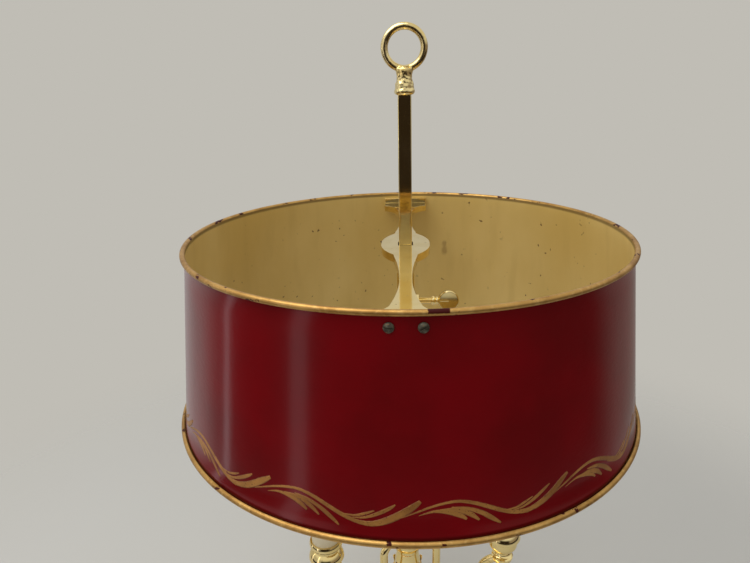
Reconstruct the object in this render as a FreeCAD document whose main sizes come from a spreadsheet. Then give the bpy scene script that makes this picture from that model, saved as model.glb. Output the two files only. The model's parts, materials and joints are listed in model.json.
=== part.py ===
# Bouillotte lamp: a weighted base and a turned column carry three tube arms with electric candles,
# and a square rod above them holds a sheet-metal shade that slides up and down and is clamped.
# The frame has +Z up, its origin under the middle of the base, and the shade's bar along Y.
# Sizes are millimetres and degrees.
import FreeCAD, Part
import math
import os
import Sketcher

V = FreeCAD.Vector

SIZES = {
    # shade: the radii are the outer face of the sheet, level with the middle of each curl
    "shadeTopRadius": 167.4,
    "shadeBottomRadius": 181.9,
    "shadeHeight": 141.0,
    "shadeSheet": 0.6,
    "topWire": 1.8,
    "bottomWire": 2.2,
    "curlClear": 0.45,
    # bar across the shade: half widths and how far from the middle they lie
    "barHeight": 443.0,
    "barBelowRim": 10.0,
    "barThickness": 6.0,
    "hubHalf": 19.0,
    "shoulderHalf": 10.4,
    "shoulderReach": 29.4,
    "neckHalf": 8.7,
    "neckReach": 35.5,
    "waistHalf": 4.2,
    "waistReach": 90.0,
    "flareHalf": 9.8,
    "flareReach": 137.5,
    "footHalf": 21.0,
    "footReach": 149.2,
    "footThickness": 5.0,
    "footAbove": 4.5,
    "footBelow": 1.5,
    "footClear": 0.05,
    "slotClear": 0.8,
    # screws through the shade into the bar's feet
    "screwSpacing": 18.5,
    "screwBelowRim": 10.5,
    "screwShank": 3.4,
    "screwHead": 6.2,
    "screwHeadSide": 0.65,
    "screwSlot": 0.9,
    "screwReach": 4.2,
    "screwClear": 0.15,
    "headGap": 0.04,
    # square sleeve, thumb screw and clamp shoe
    "sleeveWidth": 13.5,
    "sleeveLength": 56.0,
    "sleeveSeat": 2.0,
    "rodClear": 0.05,
    "thumbBelowBar": 48.3,
    "thumbShaft": 5.2,
    "thumbPad": 10.0,
    "thumbPadReach": 10.5,
    "thumbCollarAt": 21.0,
    "thumbBead": 7.4,
    "thumbBeadLong": 2.9,
    "thumbDiscAt": 34.7,
    "thumbDisc": 16.6,
    "thumbDiscThick": 3.8,
    "shoeThick": 1.5,
    # square rod and the ring on top of it
    "rodWidth": 10.0,
    "rodEdge": 0.4,
    "rodTop": 555.3,
    "rodSeat": 3.0,
    "topStud": 5.5,
    "topStudTall": 8.0,
    "bottomStud": 7.9,
    "finialFoot": 12.0,
    "finialBelly": 15.4,
    "finialNeck": 10.3,
    "ringAt": 32.4,
    "ringRadius": 14.3,
    "ringSection": 5.3,
    # arms: each tube lies in an upright plane and ends in a boss for its cup
    "armCount": 3.0,
    "armFirst": 100.0,
    "armReach": 89.0,
    "armTube": 7.4,
    "armBore": 4.8,
    "armExitAt": 14.0,
    "armLeg": 28.5,
    "armBend": 10.0,
    "armDrop": 30.0,
    "armTurn": 20.5,
    "armRise": 18.0,
    "armSweep": 25.0,
    "armSweepAngle": 54.0,
    "bossBelly": 18.5,
    "bossBelow": 7.0,
    "bossAbove": 6.0,
    "bossNeck": 12.0,
    "bossSink": 1.5,
    # nipples, cups, candle sleeves and lampholders
    "nippleTube": 8.0,
    "nippleBore": 5.0,
    "nippleLift": 0.5,
    "cupTall": 26.0,
    "cupRidge": 29.6,
    "cupRidgeAt": 16.5,
    "cupThroat": 22.0,
    "rimTall": 7.5,
    "rimWide": 27.5,
    "rimFloor": 4.0,
    "candleOuter": 23.0,
    "candleInner": 20.4,
    "candleTall": 61.0,
    "holderWide": 19.0,
    "holderTall": 54.0,
    "holderWell": 15.5,
    "holderNipple": 7.0,
    "seatClear": 0.05,
    # bulbs
    "capWide": 11.7,
    "capTall": 17.0,
    "capSeat": 6.0,
    "capGap": 0.3,
    "glassWide": 32.6,
    "glassTall": 87.0,
    "glassBellyAt": 33.0,
    "glassWall": 0.7,
    "glassTip": 1.9,
    "mountTall": 20.0,
    "leadSpacing": 6.0,
    "leadWide": 0.7,
    "leadTall": 22.0,
    # hub, cap and column
    "hubWide": 27.0,
    "hubTall": 24.0,
    "hubFloor": 6.0,
    "hubCavity": 20.0,
    "capSpigot": 4.0,
    "capWall": 1.8,
    "rodCapTall": 20.0,
    "rodCapTop": 18.4,
    "rodCapWeb": 8.0,
    "rodNut": 13.0,
    "rodNutTall": 5.8,
    "vaseTall": 48.4,
    "vaseBelly": 30.4,
    "vaseWaist": 24.1,
    "knopTall": 8.0,
    "knopWide": 25.0,
    "balusterTall": 46.0,
    "balusterBelly": 24.8,
    "plinthTall": 16.0,
    "plinthWide": 39.6,
    # tube, washer and nut that pull the column together
    "tieTube": 10.0,
    "tieBore": 7.0,
    "tieBottomGap": 0.6,
    "tieNut": 17.0,
    "tieNutTall": 4.9,
    "tieWasher": 24.0,
    "washerThick": 1.5,
    # base
    "feltThick": 2.0,
    "feltInset": 9.0,
    "dishWide": 186.0,
    "dishFlange": 7.0,
    "dishSheet": 1.6,
    "dishFloorAt": 23.6,
    "dishRimAt": 33.0,
    "dishDomeAt": 27.6,
    "dishDomeWide": 40.0,
    "flangeGap": 1.0,
    "weightGap": 4.4,
    "weightTall": 14.0,
    "weightPocket": 26.0,
    "weightPocketDeep": 8.0,
    # wiring, cord inlet and switch
    "wireAt": 14.5,
    "wireWide": 3.2,
    "wireRoom": 0.6,
    "wireOffset": 5.5,
    "wireBend": 20.0,
    "wireElbow": 3.5,
    "armWireWide": 3.0,
    "armWireElbow": 6.0,
    "splicerWide": 6.8,
    "splicerTall": 10.0,
    "inletHole": 9.2,
    "inletBore": 5.2,
    "inletLip": 12.4,
    "inletLipThick": 2.9,
    "inletGrip": 0.4,
    "inletEdge": 1.5,
    "switchBody": 14.0,
    "switchLong": 20.0,
    "switchWallGap": 0.4,
    "switchThread": 9.0,
    "switchThreadLong": 5.6,
    "switchNut": 12.0,
    "switchNutThick": 2.4,
    "switchShaft": 5.0,
    "switchShaftLong": 9.0,
    "knobWide": 12.0,
    "knobLong": 11.0,
    "knobGap": 0.4,
    "knobFlutes": 12.0,
    "knobFlute": 1.6,
}

doc = FreeCAD.newDocument("BouillotteLamp")
sheet = doc.addObject("Spreadsheet::Sheet", "Sizes")


# A size carries its number and the expression that features are bound to.
class Size:
    def __init__(self, number, formula):
        self.number = number
        self.formula = formula

    def joined(self, sign, left, right, number):
        return Size(number, "(" + formulaOf(left) + " " + sign + " " + formulaOf(right) + ")")

    def __add__(self, other):
        return self.joined("+", self, other, self.number + numberOf(other))

    def __radd__(self, other):
        return self.joined("+", other, self, numberOf(other) + self.number)

    def __sub__(self, other):
        return self.joined("-", self, other, self.number - numberOf(other))

    def __rsub__(self, other):
        return self.joined("-", other, self, numberOf(other) - self.number)

    def __mul__(self, other):
        return self.joined("*", self, other, self.number * numberOf(other))

    def __rmul__(self, other):
        return self.joined("*", other, self, numberOf(other) * self.number)

    def __truediv__(self, other):
        return self.joined("/", self, other, self.number / numberOf(other))

    def __rtruediv__(self, other):
        return self.joined("/", other, self, numberOf(other) / self.number)

    def __neg__(self):
        return 0 - self


def numberOf(size):
    return size.number if isinstance(size, Size) else float(size)


def formulaOf(size):
    return size.formula if isinstance(size, Size) else repr(float(size))


def sine(angle):
    return Size(math.sin(math.radians(numberOf(angle))), "sin(" + formulaOf(angle) + ")")


def cosine(angle):
    return Size(math.cos(math.radians(numberOf(angle))), "cos(" + formulaOf(angle) + ")")


def tangent(angle):
    return Size(math.tan(math.radians(numberOf(angle))), "tan(" + formulaOf(angle) + ")")


def root(square):
    return Size(math.sqrt(numberOf(square)), "sqrt(" + formulaOf(square) + ")")


class Names:
    pass


s = Names()
for row, (alias, number) in enumerate(SIZES.items(), start=1):
    cell = "B" + str(row)
    sheet.set("A" + str(row), alias)
    sheet.set(cell, str(number))
    sheet.setAlias(cell, alias)
    setattr(s, alias, Size(number, "Sizes." + alias))
doc.recompute()


# Helpers that make features and bind their sizes to the sheet

def bind(thing, prop, size):
    if isinstance(size, Size) and "Sizes." in size.formula:
        thing.setExpression(prop, size.formula)
    return numberOf(size)


def newBody(name):
    return doc.addObject("PartDesign::Body", name)


def newSketch(body, role, depth=0):
    sketch = body.newObject("Sketcher::SketchObject", body.Name + "Sketch")
    plane = [face for face in body.Origin.OriginFeatures if face.Role == role][0]
    sketch.AttachmentSupport = [(plane, "")]
    sketch.MapMode = "FlatFace"
    sketch.AttachmentOffset = FreeCAD.Placement(V(0, 0, numberOf(depth)), FreeCAD.Rotation())
    bind(sketch, "AttachmentOffset.Base.z", depth)
    return sketch


def fixPoint(sketch, edge, end, x, y):
    for kind, size in (("DistanceX", x), ("DistanceY", y)):
        rule = sketch.addConstraint(Sketcher.Constraint(kind, -1, 1, edge, end, numberOf(size)))
        bind(sketch, "Constraints[" + str(rule) + "]", size)


# The radius of an arc from its chord and from the angle that it turns through
def arcRadius(start, end, turn):
    across = end[0] - start[0]
    along = end[1] - start[1]
    bend = turn if numberOf(turn) > 0 else 0 - turn
    return root(across * across + along * along) / (2 * sine(bend * 0.5))


def arcBetween(start, end, radius, leftwards):
    chord = end.sub(start)
    middle = start.add(end).multiply(0.5)
    across = V(-chord.y, chord.x, 0).normalize()
    rise = math.sqrt(max(radius * radius - chord.Length * chord.Length / 4, 0))
    centre = middle.add(across.multiply(rise if leftwards else -rise))
    first, last = (start, end) if leftwards else (end, start)
    angles = [math.atan2(point.y - centre.y, point.x - centre.x) for point in (first, last)]
    if angles[1] < angles[0]:
        angles[1] += 2 * math.pi
    return Part.ArcOfCircle(Part.Circle(centre, V(0, 0, 1), radius), angles[0], angles[1])


# Corners are (x, y) or (x, y, turn): the edge that leaves a corner is straight, or an arc that turns
# through so many degrees, to the left if they are positive.
def drawOutline(sketch, corners, closed=True):
    ends = []
    edges = len(corners) if closed else len(corners) - 1
    for index in range(edges):
        corner = corners[index]
        target = corners[(index + 1) % len(corners)]
        start = V(numberOf(corner[0]), numberOf(corner[1]), 0)
        end = V(numberOf(target[0]), numberOf(target[1]), 0)
        if len(corner) == 2:
            edge = sketch.addGeometry(Part.LineSegment(start, end), False)
            ends.append((edge, 1, 2))
            continue
        radius = arcRadius(corner, target, corner[2])
        leftwards = numberOf(corner[2]) > 0
        edge = sketch.addGeometry(arcBetween(start, end, radius.number, leftwards), False)
        rule = sketch.addConstraint(Sketcher.Constraint("Radius", edge, radius.number))
        bind(sketch, "Constraints[" + str(rule) + "]", radius)
        ends.append((edge, 1, 2) if leftwards else (edge, 2, 1))
    joints = edges if closed else edges - 1
    for index in range(joints):
        here = ends[index]
        after = ends[(index + 1) % edges]
        sketch.addConstraint(Sketcher.Constraint("Coincident", here[0], here[2], after[0], after[1]))
    for index in range(edges):
        fixPoint(sketch, ends[index][0], ends[index][1], corners[index][0], corners[index][1])
    if not closed:
        fixPoint(sketch, ends[-1][0], ends[-1][2], corners[-1][0], corners[-1][1])
    return sketch


def drawCircle(sketch, x, y, diameter):
    centre = V(numberOf(x), numberOf(y), 0)
    edge = sketch.addGeometry(Part.Circle(centre, V(0, 0, 1), numberOf(diameter) / 2), False)
    rule = sketch.addConstraint(Sketcher.Constraint("Diameter", edge, numberOf(diameter)))
    bind(sketch, "Constraints[" + str(rule) + "]", diameter)
    fixPoint(sketch, edge, 3, x, y)


# A body turned about its own Z axis from an outline of (radius, height) corners
def turned(name, corners):
    body = newBody(name)
    sketch = drawOutline(newSketch(body, "XZ_Plane"), corners)
    spin = body.newObject("PartDesign::Revolution", name + "Turn")
    spin.Profile = sketch
    spin.ReferenceAxis = (sketch, ["V_Axis"])
    spin.Angle = 360
    return body


def pad(body, sketch, length):
    feature = body.newObject("PartDesign::Pad", body.Name + "Pad")
    feature.Profile = sketch
    feature.Length = bind(feature, "Length", length)
    return feature


# A round tube or wire along a path of (x, z) corners that starts along X
def tube(name, path, width):
    body = newBody(name)
    route = drawOutline(newSketch(body, "XZ_Plane"), path, closed=False)
    ring = newSketch(body, "YZ_Plane", path[0][0])
    drawCircle(ring, 0, path[0][1], width)
    pipe = body.newObject("PartDesign::AdditivePipe", name + "Pipe")
    pipe.Profile = ring
    pipe.Spine = route
    return body


def put(thing, x=0, y=0, z=0, turn=0, rotation=None):
    if rotation is None:
        rotation = FreeCAD.Rotation(V(0, 0, 1), numberOf(turn))
    thing.Placement = FreeCAD.Placement(V(numberOf(x), numberOf(y), numberOf(z)), rotation)
    bind(thing, "Placement.Base.x", x)
    bind(thing, "Placement.Base.y", y)
    bind(thing, "Placement.Base.z", z)
    bind(thing, "Placement.Rotation.Angle", turn)
    return thing


def primitive(kind, name, **sizes):
    thing = doc.addObject("Part::" + kind, name)
    for prop, size in sizes.items():
        setattr(thing, prop, bind(thing, prop, size))
    return thing


def box(name, length, width, height):
    return primitive("Box", name, Length=length, Width=width, Height=height)


def cylinder(name, diameter, height):
    return primitive("Cylinder", name, Radius=diameter / 2, Height=height)


def cut(name, base, tool):
    result = doc.addObject("Part::Cut", name)
    result.Base = base
    result.Tool = tool
    return result


def fuse(name, pieces):
    result = doc.addObject("Part::MultiFuse", name)
    result.Shapes = pieces
    result.Refine = True
    return result


def common(name, base, tool):
    result = doc.addObject("Part::Common", name)
    result.Base = base
    result.Tool = tool
    return result


def group(name, shapes):
    result = doc.addObject("Part::Feature", name)
    result.Shape = Part.makeCompound(shapes)
    return result


# Turns that lay a piece's own Z axis along the frame's X or Y axis
alongX = FreeCAD.Rotation(V(0, 1, 0), 90)
alongY = FreeCAD.Rotation(V(1, 0, 0), -90)
uprightRing = FreeCAD.Rotation(V(1, 0, 0), 90)


def hexagon(flats):
    corner = flats / math.sqrt(3)
    return [(corner * cosine(60 * index), corner * sine(60 * index)) for index in range(6)]


def nut(name, flats, thick, hole):
    body = newBody(name)
    sketch = drawOutline(newSketch(body, "XY_Plane"), hexagon(flats))
    drawCircle(sketch, 0, 0, hole)
    pad(body, sketch, thick)
    return body


nodes = {}


def keep(thing, name):
    thing.Label = name
    nodes[name] = thing
    return thing


# Heights that several pieces share, from the table upwards
weightTop = s.feltThick + s.weightTall
pocketTop = s.feltThick + s.weightPocketDeep
domeUnder = s.dishDomeAt - s.dishSheet
plinthBase = s.dishDomeAt
balusterBase = plinthBase + s.plinthTall
knopBase = balusterBase + s.balusterTall
vaseBase = knopBase + s.knopTall
hubBase = vaseBase + s.vaseTall
hubTop = hubBase + s.hubTall
armExit = hubBase + s.armExitAt
rodCapTop = hubTop + s.rodCapTall
rodBottom = rodCapTop - s.rodSeat
shadeTop = s.barHeight + s.barBelowRim
shadeBottom = shadeTop - s.shadeHeight
barUnder = s.barHeight - s.barThickness
thumbHeight = s.barHeight - s.thumbBelowBar

# Fits and other sizes that several pieces share
topCurl = s.topWire / 2 + s.curlClear
topCurlOut = topCurl + s.shadeSheet
bottomCurl = s.bottomWire / 2 + s.curlClear
bottomCurlOut = bottomCurl + s.shadeSheet
wallTop = s.shadeHeight - topCurlOut
wallBottom = bottomCurlOut
rodHole = s.rodWidth + 2 * s.rodClear
tieHole = s.tieTube + 2 * s.seatClear
nippleHole = s.nippleTube + 2 * s.seatClear
tubeStart = s.hubCavity / 4 + s.hubWide / 4
dishWall = s.dishWide / 2 - s.dishFlange
dishInner = dishWall - s.dishSheet
weightWide = 2 * (dishInner - s.weightGap)
switchAt = dishInner - s.switchWallGap - s.switchLong


# Shade: a slanted sheet with its edges curled outward over wires

def shadeShell():
    top = s.shadeTopRadius
    bottom = s.shadeBottomRadius
    topMiddle = top + topCurl
    bottomMiddle = bottom + bottomCurl
    sheetShape = turned("ShadeSheet", [
        (bottom, wallBottom),
        (top, wallTop, -90),
        (topMiddle, wallTop + topCurl, -90),
        (topMiddle + topCurl, wallTop, -90),
        (topMiddle, wallTop - topCurl),
        (topMiddle, wallTop - topCurlOut, 90),
        (topMiddle + topCurlOut, wallTop, 90),
        (topMiddle, wallTop + topCurlOut, 90),
        (top - s.shadeSheet, wallTop),
        (bottom - s.shadeSheet, wallBottom, 90),
        (bottomMiddle, wallBottom - bottomCurlOut, 90),
        (bottomMiddle + bottomCurlOut, wallBottom, 90),
        (bottomMiddle, wallBottom + bottomCurlOut),
        (bottomMiddle, wallBottom + bottomCurl, -90),
        (bottomMiddle + bottomCurl, wallBottom, -90),
        (bottomMiddle, wallBottom - bottomCurl, -90),
    ])
    put(sheetShape, z=shadeBottom)
    holes = screwHoles("ShellHoles", s.screwShank + 2 * s.screwClear)
    keep(cut("shade_shell", sheetShape, holes), "shade_shell")


def rimWires():
    for name, radius, wire, height in (
            ("top_rim_wire", s.shadeTopRadius + topCurl, s.topWire, wallTop),
            ("bottom_rim_wire", s.shadeBottomRadius + bottomCurl, s.bottomWire, wallBottom)):
        ring = primitive("Torus", name, Radius1=radius, Radius2=wire / 2)
        keep(put(ring, z=shadeBottom + height), name)


# Placements of the four screws, each square to the slanted wall
def screwPlaces():
    drop = s.screwBelowRim.number
    slope = (s.shadeBottomRadius.number - s.shadeTopRadius.number) / (wallTop.number - wallBottom.number)
    radius = s.shadeTopRadius.number + (drop - topCurlOut.number) * slope
    lean = 90 - math.degrees(math.atan(slope))
    places = []
    for side in (-90, 90):
        for half in (-0.5, 0.5):
            turn = side + math.degrees(math.asin(half * s.screwSpacing.number / radius))
            aim = FreeCAD.Rotation(V(0, 0, 1), turn).multiply(FreeCAD.Rotation(V(0, 1, 0), lean))
            x = radius * math.cos(math.radians(turn))
            y = radius * math.sin(math.radians(turn))
            places.append(FreeCAD.Placement(V(x, y, shadeTop.number - drop), aim))
    return places


def screwHoles(name, width):
    inwards = s.screwReach.number + s.shadeSheet.number + s.screwClear.number
    shapes = []
    for place in screwPlaces():
        hole = Part.makeCylinder(width.number / 2, inwards + s.screwHead.number, V(0, 0, -inwards))
        hole.Placement = place
        shapes.append(hole)
    return group(name, shapes)


def shadeScrews():
    head = s.screwHead / 2
    shank = s.screwShank / 2
    tip = 0 - s.screwReach - s.shadeSheet
    body = turned("ShadeScrew", [
        (0, tip),
        (shank, tip),
        (shank, s.headGap),
        (head, s.headGap),
        (head, s.headGap + s.screwHeadSide, 50),
        (0, s.headGap + s.screwHeadSide + head * tangent(25)),
    ])
    slot = newSketch(body, "XY_Plane", s.headGap + s.screwHeadSide * 1.5)
    half = s.screwSlot / 2
    drawOutline(slot, [(-head, -half), (head, -half), (head, half), (-head, half)])
    pocket = body.newObject("PartDesign::Pocket", "ShadeScrewSlot")
    pocket.Profile = slot
    pocket.Reversed = True
    pocket.Length = bind(pocket, "Length", s.screwHead)
    doc.recompute()
    shapes = []
    for place in screwPlaces():
        copy = body.Shape.copy()
        copy.Placement = place
        shapes.append(copy)
    keep(group("shade_screws", shapes), "shade_screws")


# Bar: a cast strap with an oval hub, narrow waists and a T-shaped foot at each end.
# One quarter of its outline is given, and the others mirror it.

def barOutline():
    quarter = [
        (s.hubHalf, 0, 40),
        (s.shoulderHalf, s.shoulderReach, -45),
        (s.neckHalf, s.neckReach, -10),
        (s.waistHalf, s.waistReach, -14),
        (s.flareHalf, s.flareReach, -38),
        (s.footHalf, s.footReach),
        (s.footHalf, s.shadeBottomRadius),
    ]

    def outwards(sideX, sideY):
        return [(corner[0] * sideX, corner[1] * sideY) + corner[2:] for corner in quarter]

    def inwards(sideX, sideY):
        back = []
        for index in range(len(quarter) - 1, 0, -1):
            corner = quarter[index]
            back.append((corner[0] * sideX, corner[1] * sideY) + quarter[index - 1][2:])
        return back

    return outwards(1, 1) + inwards(-1, 1) + outwards(-1, -1) + inwards(1, -1)


def shadeBar():
    strap = newBody("BarStrap")
    pad(strap, drawOutline(newSketch(strap, "XY_Plane"), barOutline()), s.barThickness)
    put(strap, z=barUnder)
    inside = s.shadeTopRadius - s.shadeSheet - s.footThickness
    footDeep = s.shadeBottomRadius - inside
    footTall = s.footAbove + s.barThickness + s.footBelow
    pieces = [strap]
    for name, y in (("BarFootBack", inside), ("BarFootFront", 0 - s.shadeBottomRadius)):
        foot = box(name, 2 * s.footHalf, footDeep, footTall)
        pieces.append(put(foot, -s.footHalf, y, barUnder - s.footBelow))
    thin = s.shadeSheet + s.footClear
    cone = primitive("Cone", "BarReach", Radius1=s.shadeBottomRadius - thin, Radius2=s.shadeTopRadius - thin,
                     Height=wallTop - wallBottom)
    put(cone, z=shadeBottom + wallBottom)
    trimmed = common("BarTrimmed", fuse("BarWithFeet", pieces), cone)
    slotWide = rodHole + 2 * s.slotClear
    slot = box("BarSlot", slotWide, slotWide, s.barThickness * 3)
    put(slot, -slotWide / 2, -slotWide / 2, barUnder - s.barThickness)
    seatWide = s.sleeveWidth + 2 * s.seatClear
    seat = box("BarSeat", seatWide, seatWide, s.sleeveSeat + s.barThickness)
    put(seat, -seatWide / 2, -seatWide / 2, barUnder - s.barThickness)
    holes = screwHoles("BarHoles", s.screwShank + 2 * s.seatClear)
    keep(cut("shade_bar", trimmed, fuse("BarHollows", [slot, seat, holes])), "shade_bar")


def slideSleeve():
    bottom = barUnder + s.sleeveSeat - s.seatClear - s.sleeveLength
    half = s.sleeveWidth / 2
    outside = put(box("SleeveOutside", s.sleeveWidth, s.sleeveWidth, s.sleeveLength), -half, -half, bottom)
    thumbPad = cylinder("SleevePad", s.thumbPad, s.thumbPadReach - half / 2)
    put(thumbPad, half / 2, 0, thumbHeight, rotation=alongX)
    inside = box("SleeveInside", rodHole, rodHole, s.sleeveLength * 3)
    put(inside, -rodHole / 2, -rodHole / 2, bottom - s.sleeveLength)
    thread = cylinder("SleeveThread", s.thumbShaft + 2 * s.seatClear, s.thumbPadReach * 2)
    put(thread, 0, 0, thumbHeight, rotation=alongX)
    solid = fuse("SleeveSolid", [outside, thumbPad])
    keep(cut("slide_sleeve", solid, fuse("SleeveHollows", [inside, thread])), "slide_sleeve")


# Thumb screw: a shank with two beads, turned about X, and a coin-shaped head
def thumbScrew():
    shoeAt = s.rodWidth / 2 + s.rodClear
    tip = shoeAt + s.shoeThick + s.seatClear
    shank = s.thumbShaft / 2
    bead = s.thumbBead / 2
    second = s.thumbCollarAt + s.thumbBeadLong
    last = second + s.thumbBeadLong
    spindle = turned("ThumbSpindle", [
        (0, tip),
        (shank, tip),
        (shank, s.thumbCollarAt),
        (bead, s.thumbCollarAt + s.thumbBeadLong * 0.3, 30),
        (bead, s.thumbCollarAt + s.thumbBeadLong * 0.75),
        (bead * 0.66, second),
        (bead * 0.88, second + s.thumbBeadLong * 0.3, 40),
        (bead * 0.88, second + s.thumbBeadLong * 0.75),
        (bead * 0.5, last),
        (bead * 0.5, s.thumbDiscAt),
        (0, s.thumbDiscAt),
    ])
    put(spindle, 0, 0, thumbHeight, rotation=alongX)
    edge = s.thumbDiscThick * 0.16
    half = s.thumbDiscThick / 2
    rim = s.thumbDisc / 2
    coin = turned("ThumbCoin", [
        (0, -half),
        (rim - edge, -half),
        (rim, edge - half),
        (rim, half - edge),
        (rim - edge, half),
        (0, half),
    ])
    put(coin, s.thumbDiscAt, 0, thumbHeight, rotation=uprightRing)
    keep(fuse("thumb_screw", [spindle, coin]), "thumb_screw")
    shoe = cylinder("clamp_shoe", s.thumbShaft - 4 * s.seatClear, s.shoeThick)
    keep(put(shoe, shoeAt, 0, thumbHeight, rotation=alongX), "clamp_shoe")


# Square rod with a round stud at each end
def squareRod():
    body = newBody("square_rod")
    half = s.rodWidth / 2
    flat = half - s.rodEdge
    corners = [(half, -flat), (half, flat), (flat, half), (-flat, half),
               (-half, flat), (-half, -flat), (-flat, -half), (flat, -half)]
    long = s.rodTop - rodBottom
    pad(body, drawOutline(newSketch(body, "XY_Plane"), corners), long)
    upper = newSketch(body, "XY_Plane", long)
    drawCircle(upper, 0, 0, s.topStud)
    pad(body, upper, s.topStudTall)
    lower = newSketch(body, "XY_Plane")
    drawCircle(lower, 0, 0, s.bottomStud)
    stud = pad(body, lower, s.rodCapTall - s.rodSeat - s.rodCapWeb + s.rodNutTall + s.seatClear)
    stud.Reversed = True
    keep(put(body, z=rodBottom), "square_rod")


def ringFinial():
    foot = s.finialFoot / 2
    belly = s.finialBelly / 2
    neck = s.finialNeck / 2
    ringBottom = s.ringAt - s.ringRadius
    hole = s.topStud / 2 + s.seatClear
    bored = s.topStudTall + 1
    base = turned("FinialBase", [
        (hole, 0),
        (foot, 0),
        (belly, 1.8),
        (belly, 3.2, 40),
        (neck + 1.2, 6),
        (neck + 1.2, 7.2, -25),
        (neck, ringBottom * 0.69, -20),
        (neck + 0.8, ringBottom - s.ringSection * 0.2),
        (0, ringBottom),
        (0, bored),
        (hole, bored),
    ])
    put(base, z=s.rodTop)
    ring = primitive("Torus", "FinialRing", Radius1=s.ringRadius, Radius2=s.ringSection / 2)
    put(ring, z=s.rodTop + s.ringAt, rotation=uprightRing)
    keep(fuse("ring_finial", [base, ring]), "ring_finial")


# Arms: out of the hub, down, round and up again to the boss under each cup

armLowest = armExit - s.armBend - s.armDrop
armFar = s.armLeg + s.armTurn * 2
sweepTop = armLowest + s.armRise + s.armSweep * sine(s.armSweepAngle)
sweepFar = armFar + s.armSweep * (1 - cosine(s.armSweepAngle))
armSlope = tangent(90 - s.armSweepAngle)
bossHeight = sweepTop + (s.armReach - sweepFar) * armSlope
cupBase = bossHeight + s.bossAbove
rimBase = cupBase + s.cupTall
candleBase = rimBase + s.rimFloor
nippleBottom = bossHeight + s.nippleLift
nippleTop = candleBase + s.holderNipple - s.seatClear


def armPath(start, end):
    return [
        (start, armExit),
        (s.armLeg - s.armBend, armExit, -90),
        (s.armLeg, armExit - s.armBend),
        (s.armLeg, armLowest, 90),
        (s.armLeg + s.armTurn, armLowest - s.armTurn, 90),
        (armFar, armLowest),
        (armFar, armLowest + s.armRise, -s.armSweepAngle),
        (sweepFar, sweepTop),
        (end, bossHeight - (s.armReach - end) * armSlope),
    ]


def armTurns():
    count = int(s.armCount.number)
    return [(index + 1, s.armFirst + 360 / s.armCount * index) for index in range(count)]


def arm(number, turn):
    name = "arm_" + str(number)
    belly = s.bossBelly / 2
    neck = s.bossNeck / 2
    x = s.armReach * cosine(turn)
    y = s.armReach * sine(turn)
    pipe = put(tube(name + "Tube", armPath(tubeStart, s.armReach - belly / 2), s.armTube), turn=turn)
    boss = turned(name + "Boss", [
        (0, -s.bossBelow),
        (belly * 0.45, -s.bossBelow, 60),
        (belly, 0.5),
        (belly, 1.3),
        (belly * 0.88, 2.2, -50),
        (neck, 4.4),
        (neck, s.bossAbove),
        (0, s.bossAbove),
    ])
    put(boss, x, y, bossHeight)
    bore = put(tube(name + "Bore", armPath(tubeStart - 1, s.armReach + 1), s.armBore), turn=turn)
    socket = put(cylinder(name + "Socket", nippleHole, s.bossSink + s.bossAbove * 2), x, y, bossHeight - s.bossSink)
    keep(cut(name, fuse(name + "Solid", [pipe, boss]), fuse(name + "Hollow", [bore, socket])), name)


def armWire(number, turn):
    name = "arm_wire_" + str(number)
    setBack = s.armWireElbow * tangent(s.armSweepAngle / 2)
    path = armPath(s.splicerWide / 2 + s.seatClear, s.armReach - setBack * sine(s.armSweepAngle))
    path[-1] = path[-1] + (s.armSweepAngle,)
    path.append((s.armReach, bossHeight + setBack))
    path.append((s.armReach, nippleTop))
    keep(put(tube(name, path, s.armWireWide), turn=turn), name)


# Candles: cup, rim, threaded nipple, lampholder and the sleeve round it

def candle(number, turn):
    x = s.armReach * cosine(turn)
    y = s.armReach * sine(turn)
    suffix = "_" + str(number)
    hole = nippleHole / 2
    neck = s.bossNeck / 2
    ridge = s.cupRidge / 2
    throat = s.cupThroat / 2
    bowl = ridge - 2.4
    cup = turned("cup" + suffix, [
        (hole, 0),
        (neck, 0, -60),
        (neck + 2.2, 3, 65),
        (bowl, 8.8),
        (bowl, s.cupRidgeAt - 3.2),
        (ridge, s.cupRidgeAt - 0.6),
        (ridge, s.cupRidgeAt, 43),
        (throat, s.cupTall - 1.6),
        (throat, s.cupTall),
        (hole, s.cupTall),
    ])
    keep(put(cup, x, y, cupBase), "cup" + suffix)
    wide = s.rimWide / 2
    seat = s.candleOuter / 2 + s.seatClear
    rim = turned("cup_rim" + suffix, [
        (hole, 0),
        (throat, 0),
        (wide - 0.5, s.rimTall * 0.32),
        (wide, s.rimTall * 0.45),
        (wide, s.rimTall * 0.62, 25),
        (wide - 0.8, s.rimTall),
        (seat, s.rimTall),
        (seat, s.rimFloor),
        (hole, s.rimFloor),
    ])
    keep(put(rim, x, y, rimBase), "cup_rim" + suffix)
    nipple = turned("nipple" + suffix, [
        (s.nippleBore / 2, nippleBottom),
        (s.nippleTube / 2, nippleBottom),
        (s.nippleTube / 2, nippleTop),
        (s.nippleBore / 2, nippleTop),
    ])
    keep(put(nipple, x, y), "nipple" + suffix)
    outer = s.holderWide / 2
    well = s.capWide / 2 + s.seatClear
    wellFloor = s.holderTall - s.holderWell
    holder = turned("lampholder" + suffix, [
        (hole, 0),
        (outer, 0),
        (outer, s.holderTall),
        (well, s.holderTall),
        (well, wellFloor),
        (0, wellFloor),
        (0, s.holderNipple),
        (hole, s.holderNipple),
    ])
    keep(put(holder, x, y, candleBase), "lampholder" + suffix)
    skin = s.candleOuter / 2
    sleeve = turned("candle_sleeve" + suffix, [
        (s.candleInner / 2, 0),
        (skin, 0),
        (skin, s.candleTall - 0.4),
        (skin - 0.4, s.candleTall),
        (s.candleInner / 2, s.candleTall),
    ])
    keep(put(sleeve, x, y, candleBase), "candle_sleeve" + suffix)


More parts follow.
